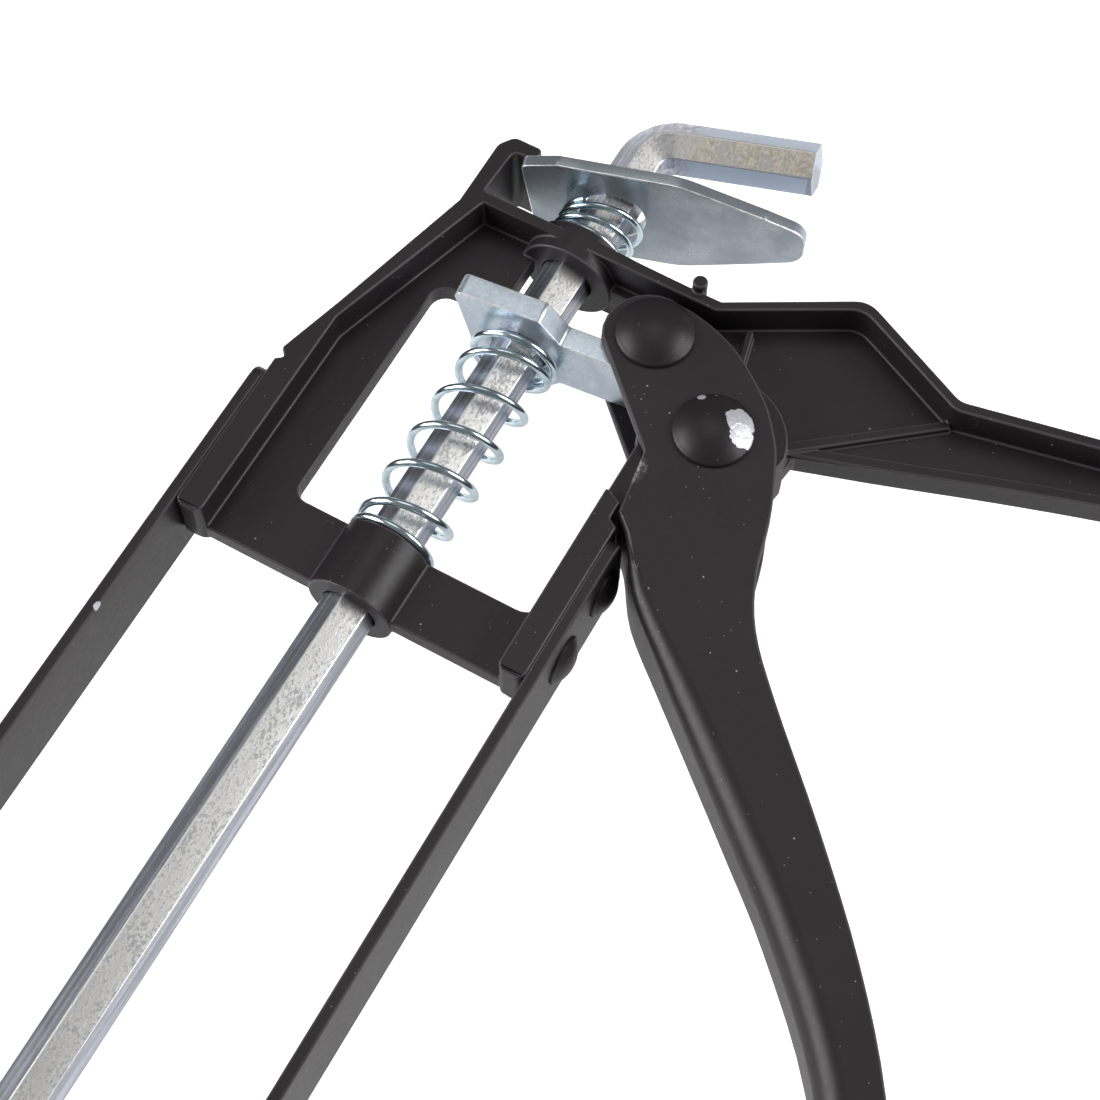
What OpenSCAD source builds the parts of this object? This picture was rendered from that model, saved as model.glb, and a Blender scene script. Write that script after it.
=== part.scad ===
// Skeleton caulking gun for one 310 ml cartridge, lying on its side.
// +X runs along the push rod towards the nozzle, +Y towards the handle and
// trigger, +Z across the gun. The origin is on the rod's axis, in the plane
// of the front bar's front face, where the cartridge's rear rim seats.

/* [Push rod] */
// Width of the hexagon rod across its flats
rod_af = 7; // [5.8:0.1:7.4]
// How far the rod is turned about its own axis
rod_roll = 8; // [-20:1:20]
// Length of the hexagon in front of the cartridge seat, with the rod forward
rod_reach = 202; // [120:1:202]
// Distance of the hook's bend behind the cartridge seat
hook_x = 84; // [83.5:0.5:100]
// Radius of the hook's bend at the middle of the rod
hook_bend = 5.5; // [5:0.1:9]
// Angle through which the rod is bent to make the hook
hook_angle = 77; // [60:1:84]
// Straight length of the hook after the bend
hook_len = 21; // [12:1:40]
// Diameter of the stud on the rod's front end
stud_d = 5; // [4:0.1:5.5]

/* [Push plate] */
// Diameter of the push plate
push_d = 43; // [38:1:46]
// Sheet thickness of the push plate
push_t = 1.6; // [1:0.1:3]
// Depth of the push plate's turned rim
push_rim = 5; // [3:0.5:9]
// Thickness of the washer on the stud
washer_t = 1.2; // [0.8:0.1:1.5]
// Outer diameter of the washer on the stud
washer_d = 14; // [11:0.5:15]
// Width of the stud's nut across its flats
nut_af = 8; // [7.5:0.1:10]
// Height of the stud's nut
nut_h = 4; // [3:0.1:4.5]

/* [Cartridge frame] */
// Free length between the cartridge seat and the nozzle plate
cradle_len = 222; // [218:1:270]
// Free width between the two rails
rail_gap = 55; // [52:0.5:60]
// Thickness of the rails' strap
rail_t = 1.8; // [1.4:0.1:2.4]
// Width of the rails' strap
rail_w = 14; // [12:0.1:15]
// Length of rail that lies on the casting
rail_lap = 24; // [23:0.1:24.4]
// Distance between the two rivets in each end of a rail
rail_rivet_pitch = 11.5; // [9:0.5:12]
// Shank diameter of the rails' rivets
rail_rivet_d = 4; // [3:0.1:4.5]
// Head diameter of the rails' rivets
rail_head_d = 7.4; // [6:0.1:9]
// Head height of the rails' rivets
rail_head_h = 1.7; // [1:0.1:2.4]

/* [Nozzle plate] */
// Sheet thickness of the nozzle plate
nozzle_t = 2; // [1.5:0.1:3]
// Height of the nozzle plate across the gun
nozzle_h = 36; // [30:1:44]
// Width of the slot for the nozzle
nozzle_slot = 21; // [16:0.5:26]
// Length of the nozzle plate's tabs along the rails
tab_len = 22; // [20:0.5:28]

/* [Casting] */
// Thickness of the casting's web
web_t = 3; // [2:0.1:4]
// Height of the casting's rims across the gun
rim_h = 14; // [12:0.1:16]
// Wall thickness of the rear rim and of the handle's rim
rim_t = 1.7; // [1.4:0.1:2.4]
// Width of the two side rims that the rails are riveted to
side_rim = 4.1; // [3.8:0.1:5]
// Length of the front bar along the rod
bar_len = 10.2; // [8:0.1:12]
// Distance of the rear rim's front face behind the cartridge seat
rear_x = 62.8; // [60:0.1:64.4]
// Outer diameter of the front boss
front_boss_d = 13.2; // [12:0.1:14.5]
// How far the front boss stands out in front of the cartridge seat
front_boss_out = 0.6; // [0:0.1:2]
// Outer diameter of the rear boss
rear_boss_d = 14.6; // [13:0.1:15]
// Length of the rear boss
rear_boss_len = 5.2; // [4:0.1:6]
// Width of the web beside the window, on the side away from the handle
ledge = 7.9; // [6:0.1:9]
// Thickness of the pivot lug between the trigger's cheeks
lug_t = 10.6; // [8.8:0.1:11]
// Radius of the thinned ground around the pivot
lug_r = 17; // [16:0.5:18]

/* [Handle] */
// Distance of the handle's far end from the rod's axis
handle_reach = 124; // [112:1:150]
// Thickness of the bead along the handle's front edge
bead_t = 4.6; // [4:0.1:7]
// Height of the handle's rim across the gun
grip_h = 14; // [12:0.1:16]

/* [Trigger] */
// Distance of the trigger's pivot behind the cartridge seat
pivot_x = 44.9; // [44:0.1:45.5]
// Distance of the trigger's pivot from the rod's axis
pivot_y = 32.2; // [32:0.1:33]
// Shank diameter of the pivot rivet
pivot_d = 6; // [5:0.1:7]
// Shank diameter of the drive pin
drive_pin_d = 5; // [4:0.1:5.2]
// Head diameter of the pivot rivet and of the drive pin
big_head_d = 11.5; // [10:0.1:12]
// Head height of the pivot rivet and of the drive pin
big_head_h = 2.6; // [1.5:0.1:3.5]
// Sheet thickness of the trigger
trigger_t = 1.7; // [1.2:0.1:2]
// Length of the trigger's lever beyond its straight part
lever_len = 26; // [10:1:34]

/* [Drive plate] */
// Thickness of the drive plate
drive_t = 3.6; // [3:0.1:3.8]
// Height of the drive plate across the gun
drive_h = 19; // [16:0.1:22]
// Lean of the drive plate at rest
drive_lean = 5.7; // [4:0.1:6]

/* [Catch plate] */
// Thickness of the catch plate
catch_t = 2; // [1.6:0.1:2.4]
// Height of the catch plate across the gun
catch_h = 20.6; // [18:0.1:24]
// Length of the catch plate from its resting edge to its thumb end
catch_len = 41.3; // [36:0.5:48]
// Lean of the catch plate at rest
catch_lean = 17.2; // [14:0.1:18]

/* [Springs] */
// Wire diameter of the return spring
return_wire = 1.2; // [1:0.05:1.4]
// Outer diameter of the return spring
return_d = 13.5; // [12.8:0.1:14]
// Turns of the return spring, closed ends included
return_turns = 6.9; // [5.9:0.1:7.9]
// Wire diameter of the catch spring
catch_wire = 1; // [0.8:0.05:1.1]
// Outer diameter of the catch spring
catch_d = 12.6; // [12:0.1:13]
// Turns of the catch spring, closed ends included
catch_turns = 3.5; // [3:0.1:3.6]

/* [Clearances] */
// Gap around a pin or shank in its hole
fit_gap = 0.05; // [0.02:0.01:0.1]
// Gap around the rod in the two bosses
bore_gap = 0.08; // [0.04:0.01:0.1]
// Gap beside each face of the pivot lug and of the drive plate's tongue
side_gap = 0.25; // [0.1:0.05:0.4]
// Gap between sprung pieces that rest on each other
rest_gap = 0.12; // [0.05:0.01:0.3]

/* [Hidden] */

round_fn = 64;                  // facets round a turned shape
arc_steps = 6;                  // points on a rounded corner
curve_steps = 4;                // points between two guide points of a curve
wire_sides = 8;                 // sides of a spring's wire
turn_steps = 24;                // rings in one turn of a spring
skin = 0.01;                    // overlap that joins two shapes of one solid

black = [0.13, 0.12, 0.13];
zinc = [0.72, 0.74, 0.77];

rod_across = rod_af * 2 / sqrt(3);
rod_bore = rod_across + 2 * bore_gap;
bend_turn = 30;                 // puts a flat of the hexagon on the inside of the bend
bend_thin = 0.03;               // how much the bar thins where it is bent
bend_lap = 0.2;                 // how far the straight lengths reach into the bend
seat_y = rail_gap / 2;          // casting's side face, under a rail
rim_in = seat_y - side_rim;
cheek_in = lug_t / 2 + side_gap;
cheek_out = cheek_in + trigger_t;
pivot = [-pivot_x, pivot_y];
pin_arm = [-10.1, -14.5];       // drive pin, seen from the pivot
pin = pivot + pin_arm;
window_y = seat_y - side_rim - ledge;
rear_rim_back = -rear_x - rim_t;
boss_back = 1.5;                // how far the rear boss stands out behind the rear rim
rear_boss_back = rear_rim_back - boss_back;
front_boss_back = -bar_len;
stud_out = 1.5;                 // how far the stud stands out of its nut
stud_len = push_t + washer_t + nut_h + stud_out;
dish = washer_t + nut_h + stud_out + 0.6;   // depth of the push plate's dish
nut_turned = 1.02;              // nut's turned face, against its width across the flats
through = 40;                   // length of a shape that cuts right through
rail_end = cradle_len + nozzle_t;
rail_rivet_x = [for (i = [0, 1]) -7.2 - i * rail_rivet_pitch];
tab_rivet_x = [for (i = [0, 1]) cradle_len - 6 - i * rail_rivet_pitch];

// ---- helpers -------------------------------------------------------------

function unit(v) = v / norm(v);
function turn_of(a) = a > 180 ? a - 360 : a < -180 ? a + 360 : a;

// Points of the arc that rounds corner b, between its neighbours a and c
function corner(a, b, c, r) =
    r == 0 ? [b] :
    let (u = unit(a - b), w = unit(c - b),
         half = acos(u * w) / 2,
         mid = b + unit(u + w) * r / sin(half),
         from = b + u * r / tan(half) - mid,
         to = b + w * r / tan(half) - mid,
         start = atan2(from.y, from.x),
         swing = turn_of(atan2(to.y, to.x) - start))
    [for (i = [0 : arc_steps])
        mid + r * [cos(start + swing * i / arc_steps), sin(start + swing * i / arc_steps)]];

// Outline whose corners are [x, y, radius]
function rounded(p) =
    let (n = len(p), xy = [for (q = p) [q.x, q.y]])
    [for (i = [0 : n - 1])
        each corner(xy[(i + n - 1) % n], xy[i], xy[(i + 1) % n], p[i][2])];

// One point of a smooth curve between guide points b and c
function between(a, b, c, d, t) =
    0.5 * (2 * b + (c - a) * t + (2 * a - 5 * b + 4 * c - d) * t * t
        + (3 * b - a - 3 * c + d) * t * t * t);

// Smooth curve through guide points
function curve(p) =
    let (n = len(p), at = function(i) p[max(0, min(n - 1, i))])
    [for (i = [0 : n - 2]) for (k = [0 : curve_steps - 1])
        between(at(i - 1), at(i), at(i + 1), at(i + 2), k / curve_steps),
     p[n - 1]];

// The same curve, moved sideways by d
function beside(p, d) =
    let (n = len(p))
    [for (i = [0 : n - 1])
        let (along = unit(p[min(n - 1, i + 1)] - p[max(0, i - 1)]))
        p[i] + d * [-along.y, along.x]];

// Extrudes an outline evenly to both sides of the gun's middle plane
module slab(height) {
    linear_extrude(height = height, center = true)
        children();
}

// Cylinder along X, from x0 to x1
module along_x(x0, x1, d, sides = round_fn) {
    translate([x0, 0, 0])
        rotate([0, 90, 0])
            cylinder(d = d, h = x1 - x0, $fn = sides);
}

// Cylinder along Y, from y0 to y1
module along_y(y0, y1, d) {
    translate([0, y0, 0])
        rotate([-90, 0, 0])
            cylinder(d = d, h = y1 - y0, $fn = round_fn);
}

// Domed rivet head on the plane z = 0
module dome(d, h) {
    lip = h * 0.2;
    rise = h - lip;
    ball = (d * d / 4 + rise * rise) / (2 * rise);
    cylinder(d = d, h = lip + skin, $fn = round_fn);
    intersection() {
        translate([0, 0, h - ball])
            sphere(r = ball, $fn = round_fn);
        translate([0, 0, lip])
            cylinder(d = d, h = h, $fn = round_fn);
    }
}

// Rise of a coil, t turns from one of its ends: closed, then opening up
ease = 0.5;                     // turns over which a spring's coils open up
function coil_rise(t, shut, close, pitch) =
    t < close ? t * shut :
    t < close + ease ? t * shut + (pitch - shut) * pow(t - close, 2) / (2 * ease) :
    (close + ease) * shut + (pitch - shut) * ease / 2 + pitch * (t - close - ease);

// Right-hand coil spring along X. Its first turns lie close together and its
// last stretch lies flat. lean tilts the first turns with a leaning plate.
module coil(x0, x1, d, wire, turns, close, flat, end_at, lean) {
    r = (d - wire) / 2;
    wire_r = wire / 2;
    shut = wire * 1.08;
    reach = x1 - x0;
    pitch = (reach - shut * (close + ease / 2)) / (turns - close - flat - ease);
    rings = round(turns * turn_steps);
    points = [for (i = [0 : rings])
        let (t = turns * i / rings, a = 360 * (t - turns) + end_at,
             x = t < turns / 2 ? coil_rise(t, shut, close, pitch)
                 : reach - coil_rise(turns - t, 0, flat, pitch),
             tilt = tan(lean) * max(0, 1 - x / reach))
        for (k = [0 : wire_sides - 1])
            let (b = 360 * k / wire_sides, y = (r + wire_r * cos(b)) * cos(a))
            [x0 + x + wire_r * sin(b) - tilt * y, y, (r + wire_r * cos(b)) * sin(a)]];
    sides = [for (i = [0 : rings - 1]) for (k = [0 : wire_sides - 1])
        let (j = (k + 1) % wire_sides, p = i * wire_sides, q = p + wire_sides)
        each [[p + k, p + j, q + j], [p + k, q + j, q + k]]];
    ends = [[for (k = [wire_sides - 1 : -1 : 0]) k],
            [for (k = [0 : wire_sides - 1]) rings * wire_sides + k]];
    polyhedron(points = points, faces = concat(sides, ends));
}

// ---- casting -------------------------------------------------------------

arch_x = -75.1;                 // back of the arch that holds the catch plate
arch_y = -18.2;
arch_wall = 2.4;
arch_lip = -11.8;               // end of the arch's hooked wall
bend_x = -35.5;                 // where the side rim turns inwards
shoulder_x = -rail_lap - 3.4;
neck_y = -14.9;                 // side rim's inner corner at the rear rim
rim_front = 0.6;                // how far the side rims stand out at the cartridge seat
notch = 1.1;                    // depth of the step behind a rail's end
side_drop = 1.4;                // how much narrower the casting is behind the right rail
window_back = -50.3;
throat_y = -5.3;
throat_x = -61.1;
lug_round = 10.6;               // radius of the lug round the pivot
rib_rise = 1.1;                 // how far the long rib stands out of the web
short_rib_rise = 1.7;
post_d = 2.2;                   // stop post behind the rear rim
post_rise = 1.6;                // how far it stands above the rim
handle_y = 23.4;                // where the rear rim turns into the handle's rim
heel = [-75, 41.8];             // handle's two rear corners
waist = [-66.3, 60.2];
toe = [-0.64 * handle_reach, handle_reach];
butt_w = 10.5;                  // width of the handle's far end
butt_y = handle_reach - 8;

handle_front = [[-48.9, 41.2], [-54.5, 57.6], [-59.1, 70.9], [-63.4, 84.3], [-67.3, 98],
                [toe.x + butt_w - 0.6, butt_y - 5], [toe.x + butt_w, butt_y]];

// Handle's rear edge and far end, moved inwards by inset
function handle_back(inset) =
    [[rear_rim_back + inset, handle_y, 0], [heel.x + inset * 1.05, heel.y, 4],
     [waist.x + inset, waist.y, 3], [toe.x + inset, toe.y - inset, 4 - inset],
     [toe.x + butt_w - inset / 2, toe.y - 1 - inset, 4 - inset]];

// Closed outline of the whole handle
module handle_web() {
    front = curve(handle_front);
    n = len(front);
    rear = rounded([[-58, handle_y, 0], each handle_back(0), handle_end(0)]);
    polygon(concat([for (i = [1 : len(rear) - 2]) rear[i]], [for (i = [n - 1 : -1 : 0]) front[i]]));
}

function handle_end(inset) = [toe.x + butt_w - inset / 2, butt_y, 0];

// Tall rim along the handle's rear edge and round its far end
module handle_rim() {
    outer = rounded([[-58, handle_y, 0], each handle_back(0), handle_end(0)]);
    inner = rounded([[-58, handle_y, 0], each handle_back(rim_t), handle_end(2 * rim_t)]);
    n = len(inner);
    polygon(concat([for (i = [1 : len(outer) - 1]) outer[i]], [for (i = [n - 1 : -1 : 1]) inner[i]]));
}

bead_w = 1.8;

// Bead along the handle's front edge
module handle_bead() {
    front = curve(handle_front);
    back = beside(front, bead_w);
    n = len(back);
    polygon(concat(front, [for (i = [n - 1 : -1 : 0]) back[i]]));
}

// Whole flat outline of the casting's body, without the handle
module body_outline() {
    polygon(rounded([
        [0, -seat_y + 0.5, 0.5], [-rail_lap - 1.6, -seat_y + 0.5, 0],
        [-rail_lap - 2.2, -seat_y + notch, 0.4], [shoulder_x, -seat_y, 0.8],
        [-38.1, -24.4, 6], [-61.4, arch_y, 1], [rear_rim_back, arch_y, 0],
        [rear_rim_back, handle_y, 0], [heel.x, heel.y, 4], [-49.5, 43, 4],
        [-36.5, 41, 6], [-33.5, seat_y - side_drop, 3], [-rail_lap - 2, seat_y - side_drop, 0.5],
        [-rail_lap - 1.6, seat_y - 0.5, 0], [0, seat_y - 0.5, 0.5]]));
}

// Window that the rod, the drive plate and the return spring work in
module window() {
    polygon(rounded([
        [-bar_len, -window_y, 2], [-bar_len, rim_in, 3], [-38, rim_in, 5],
        [-46, 20.5, 6], [throat_x, 20.5, 3], [throat_x, throat_y, 1],
        [window_back, throat_y, 1], [window_back, -window_y, 2.5]]));
}

// Rim on the side away from the handle, from the cartridge seat to the arch
module left_rim() {
    polygon(rounded([
        [rim_front, -rim_in, 1.2], [bend_x, -rim_in, 3], [-rear_x + 0.2, neck_y, 1],
        [rear_rim_back, neck_y, 0], [rear_rim_back, arch_y, 0], [-61.4, arch_y, 1],
        [-38.1, -24.4, 6], [shoulder_x, -seat_y, 0.8], [-rail_lap - 2.2, -seat_y + notch, 0.4],
        [-rail_lap - 1.4, -seat_y, 0], [rim_front, -seat_y, 1.2]]));
}

// Rim on the handle's side, under the right rail
module right_rim() {
    polygon(rounded([
        [rim_front, rim_in, 1.2], [rim_front, seat_y, 1.2], [-rail_lap - 1.4, seat_y, 0],
        [-rail_lap - 2.2, seat_y - side_drop, 0], [-30, seat_y - side_drop, 0], [-30, rim_in, 0]]));
}

// The same rim's ramp down to the thinned ground beside the pivot
module rim_ramp() {
    ramp_end = -33;
    translate([0, seat_y - side_drop, 0])
        rotate([90, 0, 0])
            linear_extrude(height = side_rim - side_drop)
                polygon([[-28, rim_h / 2], [-28, -rim_h / 2], [ramp_end, -lug_t / 2],
                         [-44, -lug_t / 2], [-44, lug_t / 2], [ramp_end, lug_t / 2]]);
}

// Hook-shaped arch behind the rear rim, open across the gun
module arch() {
    polygon(rounded([
        [rear_rim_back + skin, arch_y, 0], [arch_x + 2.3, arch_y, 2.2], [arch_x, arch_y + 1.6, 1.6],
        [arch_x, arch_lip, 0.8], [arch_x + arch_wall, arch_lip, 0.6],
        [arch_x + arch_wall, arch_y + arch_wall + 0.4, 1], [rear_rim_back + skin, arch_y + arch_wall, 0]]));
}

module casting_solid() {
    // web
    slab(web_t)
        difference() {
            union() {
                body_outline();
                handle_web();
            }
            window();
        }
    // side rims, cut back underneath at the cartridge seat
    intersection() {
        slab(rim_h) {
            left_rim();
            right_rim();
        }
        translate([0, seat_y + 1, 0])
            rotate([90, 0, 0])
                linear_extrude(height = 2 * seat_y + 2)
                    polygon(rounded([
                        [rim_front + 0.4, rim_h / 2, 1.2], [arch_x, rim_h / 2, 0], [arch_x, -rim_h / 2, 0],
                        [-4.5, -rim_h / 2, 3], [rim_front + 0.4, -1, 3]]));
    }
    rim_ramp();
    // rear rim
    slab(rim_h)
        translate([rear_rim_back, arch_y])
            square([rim_t, handle_y - arch_y]);
    slab(grip_h)
        handle_rim();
    slab(bead_t)
        handle_bead();
    slab(rim_h)
        arch();
    // thick ground that carries the pivot
    slab(lug_t)
        difference() {
            intersection() {
                body_outline();
                union() {
                    translate(pivot)
                        circle(r = lug_round, $fn = round_fn);
                    translate([-46, rim_in])
                        square([12, seat_y - side_drop - rim_in]);
                }
            }
            window();
        }
    // ribs on the web
    slab(web_t + 2 * rib_rise)
        polygon([[-50.6, 40.6], [-49.4, 41.8], [-64.2, 60.4], [-65.2, 59.4]]);
    slab(web_t + 2 * short_rib_rise)
        polygon([[-64.4, 28], [-64.4, 29], [-54.8, 31.2], [-54.8, 30]]);
    // bosses
    along_x(front_boss_back, front_boss_out, front_boss_d);
    along_x(rear_boss_back, rear_boss_back + rear_boss_len, rear_boss_d);
    // stop post behind the rear rim
    translate([rear_rim_back - 0.6, 19.6, -web_t / 2])
        cylinder(d = post_d, h = rim_h / 2 + web_t / 2 + post_rise, $fn = round_fn);
}

module handle_casting() {
    color(black)
        difference() {
            casting_solid();
            along_x(rear_boss_back - 1, front_boss_out + 1, rod_bore);
            translate(pivot)
                cylinder(d = pivot_d + 2 * fit_gap, h = through, center = true, $fn = round_fn);
            // room for the two cheeks to swing
            for (side = [-1, 1])
                translate([pivot.x, pivot.y, side * (lug_t + rim_h) / 2])
                    cylinder(r = lug_r, h = rim_h, center = true, $fn = round_fn);
            // blind holes for the rails' rivets
            for (x = rail_rivet_x, side = [-1, 1])
                translate([x, 0, 0])
                    scale([1, side, 1])
                        along_y(seat_y - seat_depth - 0.1, seat_y + 5, rail_rivet_d + 2 * fit_gap);
        }
}

// ---- cartridge frame -----------------------------------------------------

sink = 1;                       // depth of a flush rivet's countersunk head

// Cone of a flush rivet's head, gap wider all round
module sunk_head(gap) {
    translate([0, 0, -sink])
        cylinder(d1 = rail_rivet_d + 2 * gap, d2 = rail_head_d - 1.4 + 2 * gap, h = sink,
                 $fn = round_fn);
}

// Rail on the handle's side, or its mirror image with flush rivets' holes
module rail(flush) {
    color(black)
        difference() {
            translate([0, seat_y + rail_t, 0])
                rotate([90, 0, 0])
                    linear_extrude(height = rail_t)
                        polygon(rounded([
                            [-rail_lap, -rail_w / 2, 2.4], [rail_end, -rail_w / 2, 3],
                            [rail_end, rail_w / 2, 3], [-rail_lap, rail_w / 2, 2.4]]));
            for (x = concat(rail_rivet_x, tab_rivet_x))
                translate([x, 0, 0]) {
                    along_y(seat_y - 1, seat_y + rail_t + 1, rail_rivet_d + 2 * fit_gap);
                    if (flush)
                        translate([0, seat_y + rail_t, 0])
                            rotate([-90, 0, 0])
                                sunk_head(fit_gap);
                }
        }
}

module right_rail() {
    rail(false);
}

module left_rail() {
    mirror([0, 1, 0])
        rail(true);
}

// Rivets at the places xs, from depth below the rail to its outer face
module rivets(xs, depth, flush) {
    color(black)
        for (x = xs)
            translate([x, seat_y + rail_t, 0])
                rotate([-90, 0, 0]) {
                    if (flush)
                        sunk_head(0);
                    else
                        dome(rail_head_d, rail_head_h);
                    translate([0, 0, -rail_t - depth])
                        cylinder(d = rail_rivet_d, h = rail_t + depth - (flush ? 0 : -skin),
                                 $fn = round_fn);
                }
}

seat_depth = 2.9;               // depth of the rivets in the casting's side rims

module right_rail_rivets() {
    rivets(rail_rivet_x, seat_depth, false);
}

module left_rail_rivets() {
    mirror([0, 1, 0])
        rivets(rail_rivet_x, seat_depth, true);
}

module right_tab_rivets() {
    rivets(tab_rivet_x, nozzle_t, false);
}

module left_tab_rivets() {
    mirror([0, 1, 0])
        rivets(tab_rivet_x, nozzle_t, true);
}

// Front plate with an open slot for the nozzle and a tab along each rail
module nozzle_plate() {
    slot_r = nozzle_slot / 2;
    slope = 8;
    color(black)
        difference() {
            union() {
                translate([cradle_len, 0, 0])
                    rotate([90, 0, 90])
                        linear_extrude(height = nozzle_t)
                            polygon(rounded([
                                [-seat_y, -rail_w / 2, 0], [-seat_y + slope, -nozzle_h / 2, 6],
                                [seat_y - slope, -nozzle_h / 2, 6], [seat_y, -rail_w / 2, 0],
                                [seat_y, rail_w / 2, 0], [seat_y - slope, nozzle_h / 2, 6],
                                [-seat_y + slope, nozzle_h / 2, 6], [-seat_y, rail_w / 2, 0]]));
                for (side = [-1, 1])
                    translate([cradle_len - tab_len, side * (seat_y - nozzle_t / 2) - nozzle_t / 2,
                               -rail_w / 2])
                        cube([tab_len + skin, nozzle_t, rail_w]);
            }
            translate([cradle_len - nozzle_t, 0, 0]) {
                along_x(0, 3 * nozzle_t, nozzle_slot);
                translate([0, -slot_r, 0])
                    cube([3 * nozzle_t, nozzle_slot, nozzle_h]);
            }
            for (x = tab_rivet_x)
                translate([x, 0, 0])
                    along_y(-seat_y - 5, seat_y + 5, rail_rivet_d + 2 * fit_gap);
        }
}

// ---- push rod ------------------------------------------------------------

module push_rod() {
    color(zinc)
        rotate([rod_roll, 0, 0]) {
            along_x(-hook_x - bend_lap, rod_reach, rod_across, 6);
            along_x(rod_reach - skin, rod_reach + stud_len, stud_d);
            translate([-hook_x, hook_bend, 0])
                rotate([0, 0, -90 - hook_angle]) {
                    rotate_extrude(angle = hook_angle, $fn = 96)
                        translate([hook_bend, 0])
                            rotate(bend_turn)
                                circle(d = rod_across - 2 * bend_thin, $fn = 6);
                    translate([hook_bend, bend_lap, 0])
                        rotate([90, 0, 0])
                            rotate([0, 0, bend_turn])
                                cylinder(d = rod_across, h = hook_len + bend_lap, $fn = 6);
                }
        }
}

// Sheet disc with a dish in front for the nut, and a rim turned back
module push_plate() {
    r = push_d / 2;
    floor_r = washer_d / 2 + 1.5;
    top_r = floor_r + dish / 2;
    front = dish + push_t;
    bend = 2;
    color(zinc)
        translate([rod_reach, 0, 0])
            rotate([0, 90, 0])
                difference() {
                    rotate_extrude($fn = 96)
                        polygon([[0, 0], [floor_r + push_t / 2, 0], [top_r + push_t / 2, dish],
                                 [r - bend, dish], [r - push_t, front - bend], [r - push_t, front - push_rim],
                                 [r, front - push_rim], [r, front - bend], [r - bend, front],
                                 [top_r, front], [floor_r, push_t], [0, push_t]]);
                    cylinder(d = stud_d + 2 * fit_gap, h = through, center = true, $fn = round_fn);
                }
}

module plate_washer() {
    x0 = rod_reach + push_t;
    color(zinc)
        difference() {
            along_x(x0, x0 + washer_t, washer_d);
            along_x(x0 - 1, x0 + washer_t + 1, stud_d + 2 * fit_gap);
        }
}

module plate_nut() {
    x0 = rod_reach + push_t + washer_t;
    color(zinc)
        difference() {
            intersection() {
                along_x(x0, x0 + nut_h, nut_af * 2 / sqrt(3), 6);
                translate([x0 + nut_h, 0, 0])
                    rotate([0, -90, 0])
                        cylinder(d1 = nut_af * nut_turned, d2 = nut_af * nut_turned + 2 * nut_h,
                                 h = nut_h, $fn = round_fn);
            }
            along_x(x0 - 1, x0 + nut_h + 1, stud_d + 2 * fit_gap);
        }
}

// ---- trigger -------------------------------------------------------------

// Guide points of the lever's front and rear edges, seen from the pivot
lever_tip = [71, 52] + lever_len * [0.87, 0.5];
lever_front = [[17.5, -5.5], [20.3, -2.7], [27.1, 2], [34.2, 9.8], [40.4, 16.9],
               [50.1, 28.1], [60.1, 39.4], [74, 52.4], lever_tip];
lever_rear = [[-16.2, -12.4], [-15.1, -7.5], [-12.9, -2.4], [-8.1, 4], [-3.1, 8.2],
              [1.1, 10.4], [8.4, 13.2], [16.7, 15.4], [24, 19], [31.8, 25.8],
              [45, 38.9], [58.5, 51.2], [72.1, 61.4], lever_tip + [-3.2, 6.8]];

head_at = pin_arm + [0.5, -0.7];    // middle of the cheek's round end over the drive pin
head_r = 6.8;
tip_r = 3.6;                    // radius of the lever's far end

module cheek_outline() {
    front = curve(lever_front);
    rear = curve(lever_rear);
    n = len(rear);
    head = [for (a = [165 : 15 : 300]) head_at + head_r * [cos(a), sin(a)]];
    tip = [for (a = [-60 : 20 : 100]) lever_tip + [-1.6, 3.4] + tip_r * [cos(a), sin(a)]];
    nose = rounded([[-5.3, -21, 0], [7.4, -6.9, 1.2], [17.5, -5.5, 0]]);
    polygon(concat(head, [for (i = [1 : len(nose) - 2]) nose[i]], front, tip,
                   [for (i = [n - 2 : -1 : 1]) rear[i]]));
}

// Folded wall that joins the two cheeks along the lever's front edge
module lever_wall() {
    front = curve(lever_front);
    back = beside(front, trigger_t);
    n = len(back);
    polygon(concat(front, [for (i = [n - 1 : -1 : 0]) back[i]]));
}

module trigger() {
    color(black)
        translate(pivot)
            difference() {
                union() {
                    for (side = [-1, 1])
                        translate([0, 0, side * (cheek_in + trigger_t / 2)])
                            slab(trigger_t)
                                cheek_outline();
                    slab(2 * cheek_in + skin)
                        lever_wall();
                }
                cylinder(d = pivot_d + 2 * fit_gap, h = through, center = true, $fn = round_fn);
                translate(pin_arm)
                    cylinder(d = drive_pin_d + 2 * fit_gap, h = through, center = true, $fn = round_fn);
            }
}

// Domed rivet across both cheeks
module cheek_rivet(d) {
    head_z = cheek_out + fit_gap;
    color(black) {
        cylinder(d = d, h = 2 * head_z, center = true, $fn = round_fn);
        for (side = [0, 1])
            mirror([0, 0, side])
                translate([0, 0, head_z - skin])
                    dome(big_head_d, big_head_h);
    }
}

module drive_pin() {
    translate(pin)
        cheek_rivet(drive_pin_d);
}

module pivot_rivet() {
    translate(pivot)
        cheek_rivet(pivot_d);
}

// ---- plates on the rod ---------------------------------------------------

tongue_h = 2 * cheek_in - 2 * side_gap;
tongue_y = 6.4;                 // where the drive plate narrows to its tongue
drive_left = 10.4;              // drive plate's reach away from the handle
drive_slant = 4.2;              // how much shorter that reach is on the other side
drive_hole_room = 0.2;
// Where the drive plate's front face crosses the rod's axis
drive_x = pin.x + drive_pin_d / 2 + rest_gap + drive_t / cos(drive_lean) + pin.y * tan(drive_lean);
drive_hole = (rod_across + 2 * bore_gap) / cos(drive_lean) + drive_t * tan(drive_lean) + drive_hole_room;

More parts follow.
